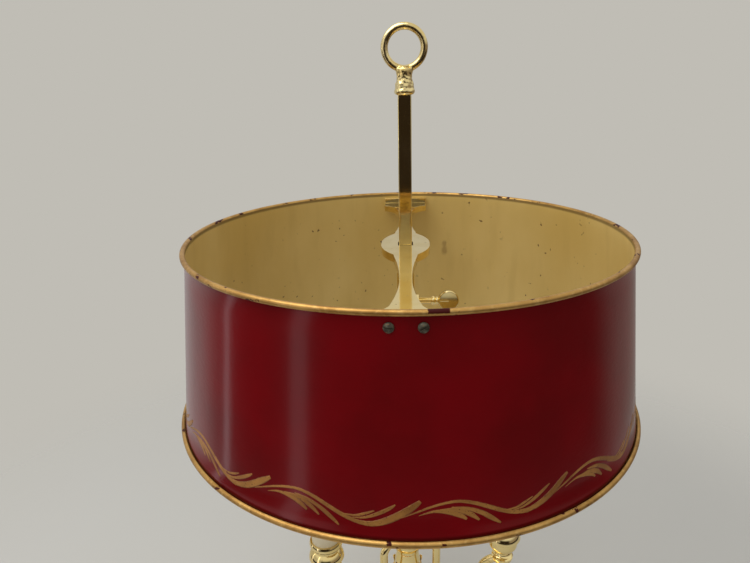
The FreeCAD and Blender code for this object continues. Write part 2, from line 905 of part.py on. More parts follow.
# Bulbs: cap, glass and the glass mount with its lead wires and filament loop

# Half outline of the candle-shaped glass from its neck to its tip, set back from the skin by the inset
def glassOutline(neck, inset):
    wide = s.glassWide / 2
    tall = s.glassTall
    ball = s.glassTip - inset
    neckTop = s.capSeat + 0.6
    bellyAt = s.glassBellyAt
    swell = 0.2533
    flareAt = neckTop + (bellyAt - neckTop) * swell
    flare = neck + (wide - neck) * swell
    upperAt = bellyAt + (tall - bellyAt) * 0.613
    return [
        (neck - inset, 0),
        (neck - inset, neckTop, -44.7),
        (flare - inset, flareAt, 44.7),
        (wide - inset, bellyAt, 21.2),
        (wide * 0.62 - inset, upperAt, 3.8),
        (ball * sine(60), tall - s.glassTip + ball * cosine(60), 60),
        (0, tall - inset),
    ]


# The same outline walked from its last corner back to its first
def backwards(corners):
    back = []
    for index in range(len(corners) - 1, -1, -1):
        leaving = corners[index - 1] if index > 0 else corners[0]
        bend = (-leaving[2],) if index > 0 and len(leaving) > 2 else ()
        back.append(corners[index][:2] + bend)
    return back


def bulb(number, turn):
    x = s.armReach * cosine(turn)
    y = s.armReach * sine(turn)
    suffix = "_" + str(number)
    capBase = candleBase + s.holderTall - s.holderWell + s.capGap
    capRadius = s.capWide / 2
    seat = capRadius - 0.35
    cap = turned("bulb_cap" + suffix, [
        (0, 0),
        (1.9, 0),
        (2.3, 0.8),
        (capRadius - 1.2, 2.6),
        (capRadius, 3.8),
        (capRadius, s.capTall),
        (seat, s.capTall),
        (seat, s.capTall - s.capSeat),
        (0, s.capTall - s.capSeat),
    ])
    keep(put(cap, x, y, capBase), "bulb_cap" + suffix)
    neck = seat - s.seatClear
    wall = s.glassWall
    glassBase = capBase + s.capTall - s.capSeat + s.seatClear
    glass = turned("bulb_glass" + suffix, glassOutline(neck, 0) + backwards(glassOutline(neck, wall)))
    keep(put(glass, x, y, glassBase), "bulb_glass" + suffix)
    half = s.leadSpacing / 2
    thin = s.leadWide / 2
    pinch = half + s.leadWide
    plug = neck - wall - s.seatClear
    pieces = [turned("FilamentMount" + suffix, [
        (0, 0),
        (plug, 0),
        (plug, 1.6),
        (neck * 0.5, 2.4),
        (neck * 0.36, s.mountTall * 0.6),
        (pinch, s.mountTall * 0.9),
        (pinch, s.mountTall),
        (0, s.mountTall),
    ])]
    for side, offset in (("Left", -half), ("Right", half)):
        lead = cylinder("FilamentLead" + side + suffix, s.leadWide, s.leadTall + thin)
        pieces.append(put(lead, offset, 0, s.mountTall - thin))
    loop = primitive("Torus", "FilamentLoop" + suffix, Radius1=half, Radius2=thin, Angle3=180)
    pieces.append(put(loop, z=s.mountTall + s.leadTall, rotation=uprightRing))
    filament = fuse("filament" + suffix, pieces)
    keep(put(filament, x, y, glassBase), "filament" + suffix)


# Hub: a turned cup that takes the three arms, closed by the cap that carries the square rod

def armHub():
    outer = s.hubWide / 2
    hole = tieHole / 2
    cavity = s.hubCavity / 2
    hub = turned("HubTurned", [
        (hole, 0),
        (outer - 3, 0),
        (outer - 3, 1.2, 50),
        (outer, 4.6),
        (outer, s.hubTall - 1),
        (outer - 1, s.hubTall),
        (cavity, s.hubTall),
        (cavity, s.hubFloor),
        (hole, s.hubFloor),
    ])
    put(hub, z=hubBase)
    seats = []
    ways = []
    for number, turn in armTurns():
        short = armPath(0, s.armReach)[:2]
        seats.append(put(tube("HubSeat" + str(number), short, s.armTube + 2 * s.seatClear), turn=turn))
        ways.append(put(tube("HubWay" + str(number), short, s.armBore), turn=turn))
    core = put(cylinder("HubCore", 2 * tubeStart - 2 * s.seatClear, s.hubTall * 2), z=hubBase - s.hubTall / 2)
    sockets = cut("HubSockets", fuse("HubSeats", seats), core)
    keep(cut("arm_hub", hub, fuse("HubHollows", [sockets] + ways)), "arm_hub")


def rodCap():
    outer = s.hubWide / 2
    spigot = s.hubCavity / 2 - s.seatClear
    hollow = spigot - s.capWall
    top = s.rodCapTop / 2
    hole = s.bottomStud / 2 + s.seatClear
    web = s.rodCapWeb
    cap = turned("CapTurned", [
        (spigot, -s.capSpigot),
        (spigot, 0),
        (outer, 0),
        (outer, 1.6, 55),
        (top + 1.3, web - 1),
        (top + 1.3, web),
        (top + 2.4, web + 1.2),
        (top + 2.4, web + 2.4),
        (top + 1, web + 3.6, -18),
        (top, s.rodCapTall - 1.6),
        (top, s.rodCapTall),
        (hole, s.rodCapTall),
        (hole, web),
        (hollow, web),
        (hollow, -s.capSpigot),
    ])
    put(cap, z=hubTop)
    seat = box("CapSeat", rodHole, rodHole, s.rodSeat * 2)
    put(seat, -rodHole / 2, -rodHole / 2, rodBottom)
    keep(cut("rod_cap", cap, seat), "rod_cap")
    lock = nut("rod_nut", s.rodNut, s.rodNutTall, s.bottomStud + 2 * s.seatClear)
    keep(put(lock, z=hubTop + web - s.rodNutTall), "rod_nut")


# Column: four turned pieces, stacked
def column():
    hole = tieHole / 2
    belly = s.vaseBelly / 2
    waist = s.vaseWaist / 2
    tall = s.vaseTall
    vase = turned("column_vase", [
        (hole, 0),
        (8.6, 0),
        (8.6, 1.8, 60),
        (belly, tall * 0.27, 19),
        (belly - 0.9, tall * 0.38, -22),
        (waist, tall * 0.71, -10),
        (10.2, tall - 4),
        (11.2, tall - 2.4),
        (11.2, tall),
        (hole, tall),
    ])
    keep(put(vase, z=vaseBase), "column_vase")
    wide = s.knopWide / 2
    knop = turned("column_knop", [
        (hole, 0),
        (wide - 3, 0, 80),
        (wide, s.knopTall / 2, 80),
        (wide - 3, s.knopTall),
        (hole, s.knopTall),
    ])
    keep(put(knop, z=knopBase), "column_knop")
    middle = s.balusterBelly / 2
    high = s.balusterTall
    baluster = turned("column_baluster", [
        (hole, 0),
        (10.4, 0),
        (10.4, 2.4),
        (8.4, 6, -50),
        (9.6, high * 0.39, 35),
        (middle, high * 0.59, 38),
        (8.6, high * 0.83, -60),
        (8.4, high - 3),
        (10, high - 1.8),
        (10, high),
        (hole, high),
    ])
    keep(put(baluster, z=balusterBase), "column_baluster")
    plinth = s.plinthWide / 2
    foot = turned("column_plinth", [
        (hole, 0),
        (plinth, 0),
        (plinth, 2, -85),
        (13, s.plinthTall - 4),
        (13, s.plinthTall - 2),
        (11.8, s.plinthTall),
        (hole, s.plinthTall),
    ])
    keep(put(foot, z=plinthBase), "column_plinth")


# Tie tube: it clamps the column between the hub's floor and a nut under the weight
def tieParts():
    bottom = s.feltThick + s.tieBottomGap
    top = hubBase + s.hubFloor
    plain = turned("TiePlain", [
        (s.tieBore / 2, bottom),
        (s.tieTube / 2, bottom),
        (s.tieTube / 2, top),
        (s.tieBore / 2, top),
    ])
    side = put(cylinder("TieSideHole", s.wireWide + s.wireRoom, s.tieTube), 0, 0, s.wireAt, rotation=alongX)
    keep(cut("tie_tube", plain, side), "tie_tube")
    washer = turned("tie_washer", [
        (tieHole / 2, 0),
        (s.tieWasher / 2, 0),
        (s.tieWasher / 2, s.washerThick),
        (tieHole / 2, s.washerThick),
    ])
    keep(put(washer, z=pocketTop - s.washerThick), "tie_washer")
    lock = nut("tie_nut", s.tieNut, s.tieNutTall, tieHole)
    keep(put(lock, z=pocketTop - s.washerThick - s.tieNutTall), "tie_nut")


# Base: a dish over an iron weight, with felt underneath

def baseDish():
    wall = dishWall
    edge = s.dishWide / 2
    dome = s.dishDomeWide / 2
    hole = tieHole / 2
    floorAt = s.dishFloorAt
    floorUnder = floorAt - s.dishSheet
    topAt = s.dishDomeAt
    rimAt = s.dishRimAt
    slopeMiddle = (topAt + floorAt) / 2
    dish = turned("DishTurned", [
        (hole, topAt),
        (dome, topAt, -53),
        (dome + 4, slopeMiddle, 53),
        (dome + 8, floorAt),
        (wall - 12, floorAt, 80),
        (wall - 2, rimAt - 1),
        (wall - 1, rimAt),
        (wall + 1.6, rimAt),
        (wall + 2.4, rimAt - 0.8),
        (wall + 2.4, rimAt - 2.4),
        (wall, rimAt - 6),
        (wall, 8, 70),
        (edge, 4.2),
        (edge, s.flangeGap),
        (edge - 2.2, s.flangeGap),
        (edge - 2.2, 2.6, -70),
        (dishInner, 7.2),
        (dishInner, floorUnder),
        (dome + 7.4, floorUnder, -53),
        (dome + 3.4, slopeMiddle - s.dishSheet, 53),
        (dome - 0.6, domeUnder),
        (hole, domeUnder),
    ])
    threadHole = cylinder("DishSwitchHole", s.switchThread + 2 * s.seatClear, s.dishWide)
    put(threadHole, 0, 0, s.wireAt, rotation=alongX)
    inletHole = put(cylinder("DishInletHole", s.inletHole, s.dishWide), 0, 0, s.wireAt, rotation=alongY)
    keep(cut("base_dish", dish, fuse("DishHoles", [threadHole, inletHole])), "base_dish")


# The incoming wire runs from the inlet on the Y side round to the switch on the X side. It is drawn in
# its own plane, where x runs inward from the inlet and z runs towards the switch.
inletOutside = dishWall + s.seatClear
inletInside = inletOutside - s.dishSheet - s.inletGrip
wireStart = inletInside - s.inletEdge - s.seatClear
wireLaid = FreeCAD.Rotation(V(0, -1, 0), V(0, 0, -1), V(1, 0, 0))


def wirePath(end):
    inwards = wireStart - s.wireOffset
    return [
        (0, 0),
        (inwards - s.wireBend, 0, 90),
        (inwards, s.wireBend),
        (inwards, end),
    ]


def baseWeight():
    hole = tieHole / 2
    pocket = s.weightPocket / 2
    boss = s.dishDomeWide / 2 - 1
    weight = turned("WeightTurned", [
        (pocket, s.feltThick),
        (weightWide / 2, s.feltThick),
        (weightWide / 2, weightTop),
        (boss + 1, weightTop),
        (boss, domeUnder),
        (hole, domeUnder),
        (hole, pocketTop),
        (pocket, pocketTop),
    ])
    channel = s.wireWide + 2 * s.wireRoom
    straight = tube("ChannelStraight", [(0, s.wireAt), (switchAt + 1, s.wireAt)], channel)
    bent = put(tube("ChannelBent", wirePath(switchAt + 1), channel), 0, wireStart, s.wireAt, rotation=wireLaid)
    room = s.switchBody + 2 * s.wireRoom
    switchRoom = box("SwitchRoom", weightWide, room, weightWide)
    put(switchRoom, switchAt - s.seatClear, -room / 2, s.wireAt - room / 2)
    keep(cut("base_weight", weight, fuse("WeightHollows", [straight, bent, switchRoom])), "base_weight")
    keep(cylinder("base_felt", s.dishWide - 2 * s.feltInset, s.feltThick), "base_felt")


def wiring():
    spliceAt = armExit - s.splicerTall / 2
    splicer = cylinder("wire_splicer", s.splicerWide, s.splicerTall)
    keep(put(splicer, z=spliceAt), "wire_splicer")
    switchWire = tube("switch_wire", [
        (switchAt - s.seatClear, s.wireAt),
        (s.wireElbow, s.wireAt, -90),
        (0, s.wireAt + s.wireElbow),
        (0, spliceAt - s.seatClear),
    ], s.wireWide)
    keep(switchWire, "switch_wire")
    feed = tube("feed_wire", wirePath(switchAt - s.seatClear), s.wireWide)
    keep(put(feed, 0, wireStart, s.wireAt, rotation=wireLaid), "feed_wire")


def cordInlet():
    bore = s.inletBore / 2
    groove = s.inletHole / 2 - s.seatClear
    lip = s.inletLip / 2
    bush = turned("cord_inlet", [
        (bore, inletInside - s.inletEdge),
        (groove + 0.7, inletInside - s.inletEdge),
        (groove + 0.7, inletInside),
        (groove, inletInside),
        (groove, inletOutside),
        (lip, inletOutside),
        (lip, inletOutside + 0.8, 50),
        (bore + 0.8, inletOutside + s.inletLipThick),
        (bore, inletOutside + s.inletLipThick),
    ])
    keep(put(bush, 0, 0, s.wireAt, rotation=alongY), "cord_inlet")


# Switch: a rotary body behind the dish's wall, its ring nut outside and a fluted knob
def switchParts():
    body = s.switchBody / 2
    threadAt = switchAt + s.switchLong
    threadEnd = threadAt + s.switchThreadLong
    shaftEnd = threadEnd + s.switchShaftLong
    case = turned("switch_body", [
        (0, switchAt),
        (body, switchAt),
        (body, threadAt),
        (s.switchThread / 2, threadAt),
        (s.switchThread / 2, threadEnd),
        (s.switchShaft / 2, threadEnd),
        (s.switchShaft / 2, shaftEnd),
        (0, shaftEnd),
    ])
    keep(put(case, 0, 0, s.wireAt, rotation=alongX), "switch_body")
    nutAt = dishWall + s.seatClear
    ringNut = turned("switch_nut", [
        (s.switchThread / 2 + s.seatClear, nutAt),
        (s.switchNut / 2, nutAt),
        (s.switchNut / 2, nutAt + s.switchNutThick - 0.4),
        (s.switchNut / 2 - 0.4, nutAt + s.switchNutThick),
        (s.switchThread / 2 + s.seatClear, nutAt + s.switchNutThick),
    ])
    keep(put(ringNut, 0, 0, s.wireAt, rotation=alongX), "switch_nut")
    knob = s.knobWide / 2
    bore = s.switchShaft / 2 + s.seatClear
    knobAt = threadEnd + s.knobGap
    plain = turned("KnobTurned", [
        (bore, knobAt),
        (knob, knobAt),
        (knob, knobAt + s.knobLong - 1.2, 60),
        (knob - 1.4, knobAt + s.knobLong),
        (0, knobAt + s.knobLong),
        (0, shaftEnd + s.knobGap),
        (bore, shaftEnd + s.knobGap),
    ])
    put(plain, 0, 0, s.wireAt, rotation=alongX)
    flutes = []
    for index in range(int(s.knobFlutes.number)):
        turn = 360 / s.knobFlutes * index
        flute = cylinder("KnobFlute" + str(index + 1), s.knobFlute, s.knobLong * 2)
        y = knob * cosine(turn)
        z = s.wireAt + knob * sine(turn)
        flutes.append(put(flute, knobAt + 1.5, y, z, rotation=alongX))
    keep(cut("switch_knob", plain, fuse("KnobFlutes", flutes)), "switch_knob")


shadeShell()
rimWires()
shadeScrews()
shadeBar()
slideSleeve()
thumbScrew()
squareRod()
ringFinial()
armHub()
rodCap()
for armNumber, armTurned in armTurns():
    arm(armNumber, armTurned)
    armWire(armNumber, armTurned)
    candle(armNumber, armTurned)
    bulb(armNumber, armTurned)
column()
tieParts()
baseDish()
baseWeight()
wiring()
cordInlet()
switchParts()
doc.recompute()

# Every object must be sound before any file is written.
for thing in doc.Objects:
    if "Invalid" in thing.State or "Error" in thing.State:
        raise RuntimeError(thing.Name + " could not be made")
for name, thing in nodes.items():
    if thing.Shape.isNull() or not thing.Shape.isValid():
        raise RuntimeError(name + " has no sound shape")

os.makedirs("parts", exist_ok=True)
for name, thing in nodes.items():
    thing.Shape.exportStep("parts/" + name + ".step")
print(len(nodes), "sub-parts")
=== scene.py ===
import json
import math
import random
import bpy
import bmesh
from mathutils import Matrix, Vector, noise


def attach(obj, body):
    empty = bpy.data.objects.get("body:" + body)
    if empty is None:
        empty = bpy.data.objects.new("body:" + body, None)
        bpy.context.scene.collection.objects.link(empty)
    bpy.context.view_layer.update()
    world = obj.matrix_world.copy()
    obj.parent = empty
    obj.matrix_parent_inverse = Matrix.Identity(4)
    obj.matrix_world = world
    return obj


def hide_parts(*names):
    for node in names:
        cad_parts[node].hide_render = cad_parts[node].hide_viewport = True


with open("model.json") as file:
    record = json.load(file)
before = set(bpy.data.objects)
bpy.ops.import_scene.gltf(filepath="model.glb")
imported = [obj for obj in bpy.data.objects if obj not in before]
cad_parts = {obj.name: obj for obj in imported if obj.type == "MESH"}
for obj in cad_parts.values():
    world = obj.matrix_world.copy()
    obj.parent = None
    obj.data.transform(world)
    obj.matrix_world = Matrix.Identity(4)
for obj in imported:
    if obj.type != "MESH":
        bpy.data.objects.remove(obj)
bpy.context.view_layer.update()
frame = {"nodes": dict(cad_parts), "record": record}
mm = 0.001
turn = 2 * math.pi
joinUnder = 1e-6  # points closer than this become one


def srgb(red, green, blue):  # a colour as it is read off a screen, made linear
    def linear(value):
        value /= 255
        return value / 12.92 if value <= 0.04045 else ((value + 0.055) / 1.055) ** 2.4
    return (linear(red), linear(green), linear(blue), 1)


# Shader kit

class Wire:  # a socket that takes + - * and abs like a number
    def __init__(self, paint, socket):
        self.paint = paint
        self.socket = socket

    def sum(self, operation, *values):
        return self.paint.node("Math", {"operation": operation}, dict(enumerate(values)))

    def __add__(self, other):
        return self.sum("ADD", self, other)

    def __radd__(self, other):
        return self.sum("ADD", other, self)

    def __sub__(self, other):
        return self.sum("SUBTRACT", self, other)

    def __rsub__(self, other):
        return self.sum("SUBTRACT", other, self)

    def __mul__(self, other):
        return self.sum("MULTIPLY", self, other)

    def __rmul__(self, other):
        return self.sum("MULTIPLY", other, self)

    def __abs__(self):
        return self.sum("ABSOLUTE", self)

    def rise(self, none, full):  # 0 up to none, 1 past full, smooth between, either way round
        return self.paint.node("MapRange", {"interpolation_type": "SMOOTHSTEP"},
                               {0: self, 1: none, 2: full})


class Paint:  # a material or a world, and its nodes
    def __init__(self, owner, fixed=None):
        owner.use_nodes = True
        self.owner = owner
        self.tree = owner.node_tree
        self.shader = self.tree.nodes.get("Principled BSDF")
        for socket, value in (fixed or {}).items():
            self.shader.inputs[socket].default_value = value

    def node(self, kind, settings=None, inputs=None, output=0):
        made = self.tree.nodes.new("ShaderNode" + kind)
        for name, value in (settings or {}).items():
            setattr(made, name, value)
        for name, value in (inputs or {}).items():
            if isinstance(value, Wire):
                self.tree.links.new(value.socket, made.inputs[name])
            else:
                made.inputs[name].default_value = value
        return Wire(self, made.outputs[output])

    def place(self):
        return self.node("TexCoord", output="Object")

    def axis(self, name):
        return self.node("SeparateXYZ", inputs={0: self.place()}, output=name)

    def grain(self, scale, stretch=(1, 1, 1), detail=3.0, rough=0.5, shift=0.0):
        moved = self.node("Mapping", inputs={
            "Vector": self.place(), "Location": (shift,) * 3, "Scale": stretch})
        return self.node("TexNoise", inputs={
            "Vector": moved, "Scale": scale, "Detail": detail, "Roughness": rough})

    def mix(self, factor, first, second):  # sockets 6 and 7 and output 2 are the colours
        return self.node("Mix", {"data_type": "RGBA"}, {0: factor, 6: first, 7: second}, 2)

    def bump(self, height, strength, distance, under=None):
        inputs = {"Height": height, "Strength": strength, "Distance": distance}
        if under:
            inputs["Normal"] = under
        return self.node("Bump", inputs=inputs)

    def feed(self, **wires):
        for name, wire in wires.items():
            self.tree.links.new(wire.socket, self.shader.inputs[name.replace("_", " ")])
        return self.owner


def paint(name, **fixed):
    values = {socket.replace("_", " "): value for socket, value in fixed.items()}
    return Paint(bpy.data.materials.new(name), values)


# Brass: its bright and deep colour, roughness and share of specks

brass = {
    "polishedBrass": ((0.90, 0.73, 0.36, 1), (0.85, 0.66, 0.28, 1), 0.07, 0.6),
    "castBrass": ((0.88, 0.72, 0.36, 1), (0.72, 0.54, 0.22, 1), 0.17, 0.8),
    "plainBrass": ((0.70, 0.52, 0.22, 1), (0.55, 0.38, 0.15, 1), 0.28, 1.0),
}
brassSpeck = srgb(96, 68, 30)


def brassFinish(name):
    bright, deep, rough, spots = brass[name]
    p = paint(name, Metallic=1.0)
    clouds = p.grain(55, detail=2).rise(0.35, 0.7)
    scratches = p.grain(900, (1, 1, 0.12), 4)
    specks = p.grain(420, detail=2, shift=3).rise(0.70, 0.76) * spots
    dull = p.grain(24, detail=4, shift=7).rise(0.52, 0.75)
    waves = p.grain(70, detail=1, shift=5)
    colour = p.mix(clouds, bright, deep)
    colour = p.mix(specks, colour, brassSpeck)
    roughness = rough + dull * 0.07 + specks * 0.3 + (scratches - 0.5) * 0.03
    skin = p.bump(waves, 0.06, 0.0009, p.bump(scratches, 0.05, 0.0001))
    return p.feed(Base_Color=colour, Roughness=roughness, Normal=skin)


# Red lacquer outside the shade. A band is where a mark starts and where it is full, in metres

lacquer = {
    "red": srgb(112, 0, 7), "deepRed": srgb(96, 0, 4), "dust": srgb(120, 40, 34),
    # The first colour and band on the next line are painted shade in the crevice between the hem
    # and the lower rim
    "creviceShade": srgb(70, 8, 10), "creviceShadeBand": (0.3185, 0.3165), "roughness": 0.33, "coat": 0.75,
}


def lacquerFinish():
    p = paint("redLacquer", Coat_Roughness=0.16, Coat_IOR=1.4, Specular_IOR_Level=0.06)
    wear = p.grain(18, detail=5, shift=2)
    ripples = p.grain(260, (1, 1, 2.6), 3)
    crazing = p.grain(1500, (1, 1, 0.7), 2, shift=4)
    dents = p.grain(20, (1, 1, 0.55), 1.5, shift=9)
    dust = p.grain(700, detail=2, shift=6).rise(0.72, 0.8)
    # Painted shade: the lacquer darkens in the crevice between the hem and the lower rim's bead
    creviceShade = p.axis("Z").rise(*lacquer["creviceShadeBand"])
    colour = p.mix(wear.rise(0.3, 0.75), lacquer["red"], lacquer["deepRed"])
    colour = p.mix(dust * 0.25, colour, lacquer["dust"])
    colour = p.mix(creviceShade * 0.5, colour, lacquer["creviceShade"])
    roughness = lacquer["roughness"] + (wear - 0.5) * 0.16 + dust * 0.2
    coat = lacquer["coat"] + (wear - 0.5) * 0.4
    skin = p.bump(ripples, 0.22, 0.0005)
    skin = p.bump(crazing, 0.10, 0.0002, skin)
    skin = p.bump(dents, 0.35, 0.0035, skin)
    return p.feed(Base_Color=colour, Roughness=roughness, Coat_Weight=coat, Normal=skin)


# Aged gold paint inside the shade, with specks and one brown smudge at the back

inside = {
    "gold": srgb(206, 174, 98), "paleGold": srgb(222, 194, 124), "streak": srgb(190, 158, 86),
    "speck": srgb(92, 58, 26), "smudge": srgb(112, 78, 36), "smudgeAt": (0.042, 0.393),
    # The last colour and band on the next line are painted shadow under the top curl
    "smudgeBack": (0.1, 0.11), "curlShadow": srgb(88, 62, 26), "curlShadowBand": (0.4482, 0.4500),
}


def insideFinish():
    p = paint("agedGoldPaint", Metallic=0.2, Specular_IOR_Level=0.4)
    x, y, z = (p.axis(name) for name in "XYZ")
    cloud = p.grain(9, (1, 1, 0.6), 5).rise(0.3, 0.72)
    streak = p.grain(60, (1, 1, 0.15), 4, shift=2)
    grit = p.grain(1700, detail=2, shift=5)
    specks = p.grain(190, detail=1.5, shift=11).rise(0.69, 0.76)
    gathered = p.grain(26, detail=1, shift=13).rise(0.45, 0.62)
    ragged = p.grain(120, detail=4, shift=8) - 0.5
    aside, height = inside["smudgeAt"]
    wide = (abs(x - aside) + ragged * 0.006).rise(0.0034, 0.0006)
    tall = (abs(z - height) + ragged * 0.015).rise(0.010, 0.003)
    smudge = wide * tall * y.rise(*inside["smudgeBack"])
    colour = p.mix(cloud, inside["gold"], inside["paleGold"])
    colour = p.mix(streak.rise(0.45, 0.8) * 0.35, colour, inside["streak"])
    colour = p.mix(specks * gathered, colour, inside["speck"])
    colour = p.mix(smudge * 0.42, colour, inside["smudge"])
    # Painted shadow: the inside paint darkens just under the top curl
    colour = p.mix(z.rise(*inside["curlShadowBand"]) * 0.7, colour, inside["curlShadow"])
    roughness = 0.46 + (cloud - 0.5) * 0.1 + (grit - 0.5) * 0.12
    skin = p.bump(grit, 0.18, 0.0002, p.bump(streak, 0.12, 0.0006))
    return p.feed(Base_Color=colour, Roughness=roughness, Normal=skin)


# Gold on the rims, chipped down to the red, with one long chip at the front of the top rim

rim = {
    "gold": srgb(196, 154, 88), "dullGold": srgb(160, 118, 62), "rubbed": srgb(214, 178, 112),
    "bare": srgb(62, 8, 6), "chipAt": 0.0172, "chipHalf": (0.0062, 0.0054),
    "chipFront": (-0.14, -0.15), "chipBand": (0.4508, 0.4512),
}


def rimFinish():
    p = paint("rubbedRimGold", Specular_IOR_Level=0.12)
    x, y, z = (p.axis(name) for name in "XYZ")
    patches = p.grain(42, detail=5, rough=0.6)
    rubbed = p.grain(300, detail=3, shift=8).rise(0.5, 0.75)
    chips = p.grain(75, (1, 1, 2.2), 4, rough=0.62, shift=4).rise(0.60, 0.63)
    ragged = (p.grain(500, detail=3, shift=2) - 0.5) * 0.004
    wide = (abs(x - rim["chipAt"]) + ragged).rise(*rim["chipHalf"])
    longChip = wide * y.rise(*rim["chipFront"]) * (z + ragged * 0.2).rise(*rim["chipBand"])
    bare = chips + longChip - chips * longChip
    colour = p.mix(patches.rise(0.35, 0.7), rim["gold"], rim["dullGold"])
    colour = p.mix(rubbed * 0.6, colour, rim["rubbed"])
    colour = p.mix(bare, colour, rim["bare"])
    roughness = 0.38 + (patches - 0.5) * 0.16
    skin = p.bump(p.grain(650, detail=3), 0.16, 0.0002, p.bump(1 - bare, 0.4, 0.00008))
    return p.feed(Base_Color=colour, Metallic=0.75 * (1 - bare), Roughness=roughness, Normal=skin)


# Gilt of the painted scroll, darker and ragged along the edges of each stroke

giltTones = {
    "light": srgb(190, 134, 66), "dark": srgb(152, 100, 46), "edge": srgb(96, 50, 18),
    "worn": srgb(78, 22, 14),
}


def giltFinish():
    p = paint("paintedGilt")
    uv = p.node("TexCoord", output="UV")
    across = abs(p.node("SeparateXYZ", inputs={0: uv}, output="X") - 0.5) * 2
    ragged = p.grain(520, detail=3, shift=1)
    edge = (across + (ragged - 0.5) * 0.7).rise(0.55, 0.95)
    tone = p.grain(60, detail=3, shift=5).rise(0.3, 0.7)
    worn = p.grain(900, detail=3, shift=7).rise(0.62, 0.7)
    colour = p.mix(tone, giltTones["light"], giltTones["dark"])
    colour = p.mix(edge * 0.75, colour, giltTones["edge"])
    colour = p.mix(worn * 0.7, colour, giltTones["worn"])
    return p.feed(Base_Color=colour, Metallic=0.5 - 0.3 * edge, Roughness=0.4 + 0.1 * ragged,
                  Normal=p.bump(ragged, 0.2, 0.0002))


def screwFinish():
    p = paint("darkenedScrew", Metallic=0.4)
    cloud = p.grain(500, detail=4)
    rubbed = p.grain(800, detail=2, shift=4).rise(0.6, 0.7)
    colour = p.mix(cloud.rise(0.35, 0.65), srgb(92, 88, 74), srgb(58, 50, 38))
    colour = p.mix(rubbed, colour, srgb(110, 84, 44))
    return p.feed(Base_Color=colour, Roughness=0.36 + cloud * 0.2,
                  Normal=p.bump(cloud, 0.3, 0.0002))


def glassFinish():
    p = paint("bulbGlass", Transmission_Weight=1.0, IOR=1.45)
    streak = p.grain(40, (1, 1, 0.3), 2)
    colour = p.mix(streak, (1, 1, 1, 1), (0.97, 0.98, 0.96, 1))
    return p.feed(Base_Color=colour, Roughness=0.01 + streak * 0.02)


def feltFinish():
    p = paint("greenFelt", Sheen_Weight=0.5)
    fuzz = p.grain(2200, detail=4)
    colour = p.mix(p.grain(60, detail=3), srgb(38, 66, 44), srgb(52, 84, 58))
    return p.feed(Base_Color=colour, Roughness=0.92 + (fuzz - 0.5) * 0.1,
                  Normal=p.bump(fuzz, 0.6, 0.0004))


# Plain ones: name, light and dark colour, roughness, cloud scale, bump in metres, metallic

plain = {
    "steel": ("zincSteel", (178, 180, 182), (150, 152, 156), 0.34, 90, 0.0001, 1.0),
    "cap_metal": ("bulbCapMetal", (205, 190, 150), (180, 165, 128), 0.25, 90, 0.0001, 1.0),
    "bulb_mount": ("bulbMount", (196, 200, 202), (150, 152, 156), 0.25, 200, 0.0001, 0.6),
    "candle_card": ("candleCard", (226, 214, 184), (212, 198, 164), 0.62, 40, 0.0003, 0),
    "holder_plastic": ("holderPlastic", (36, 30, 26), (24, 20, 18), 0.45, 80, 0.0002, 0),
    "wire_cover": ("wireCover", (196, 178, 132), (174, 154, 108), 0.5, 120, 0.0002, 0),
    "splicer_plastic": ("splicerPlastic", (226, 222, 210), (208, 204, 192), 0.42, 90, 0.0002, 0),
    "inlet_rubber": ("inletRubber", (30, 28, 27), (20, 19, 18), 0.72, 120, 0.0002, 0),
    "iron": ("castIron", (74, 70, 66), (50, 44, 40), 0.66, 110, 0.0006, 0.7),
}


def plainFinish(name, light, dark, rough, scale, depth, metallic):
    p = paint(name, Metallic=metallic)
    cloud = p.grain(scale, detail=4)
    fine = p.grain(scale * 14, detail=2, shift=3)
    colour = p.mix(cloud.rise(0.3, 0.7), srgb(*light), srgb(*dark))
    return p.feed(Base_Color=colour, Roughness=rough + (cloud - 0.5) * 0.15,
                  Normal=p.bump(fine, 0.25, depth))


brightBrass = brassFinish("polishedBrass")
castBrass = brassFinish("castBrass")
redLacquer = lacquerFinish()
goldPaint = insideFinish()
rimGold = rimFinish()
gilt = giltFinish()
darkScrew = screwFinish()
finishes = {slot: plainFinish(*row) for slot, row in plain.items()}
finishes.update({
    "shade_paint": redLacquer, "rim_gold": rimGold, "polished_brass": brightBrass,
    "plain_brass": brassFinish("plainBrass"), "dark_screws": darkScrew,
    "bulb_glass": glassFinish(), "felt": feltFinish(),
})
for row in frame["record"]["subparts"]:
    node = frame["nodes"][row["node"]]
    node.data.materials.clear()
    node.data.materials.append(finishes[row["material_slot"]])
print("finishes: done")


# Mesh helpers: sizes are in mm, angles in degrees

def done(name, mesh, body, materials, replaced=(), sharp=30, flatOver=None):
    bmesh.ops.remove_doubles(mesh, verts=mesh.verts, dist=joinUnder)
    bmesh.ops.recalc_face_normals(mesh, faces=mesh.faces)
    smooth = [flatOver is None or face.calc_area() < flatOver * mm * mm for face in mesh.faces]
    data = bpy.data.meshes.new(name)
    mesh.to_mesh(data)
    mesh.free()
    data.set_sharp_from_angle(angle=math.radians(sharp))
    data.polygons.foreach_set("use_smooth", smooth)  # faces over flatOver are shaded flat
    for material in materials:
        data.materials.append(material)
    piece = bpy.data.objects.new(name, data)
    bpy.context.scene.collection.objects.link(piece)
    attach(piece, body)
    if replaced:
        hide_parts(*replaced)
    return piece


def arc(radius, height, size, first, last, steps):  # points of a round bead in a profile
    angles = [math.radians(first + (last - first) * i / steps) for i in range(steps + 1)]
    return [(radius + size * math.cos(a), height + size * math.sin(a)) for a in angles]


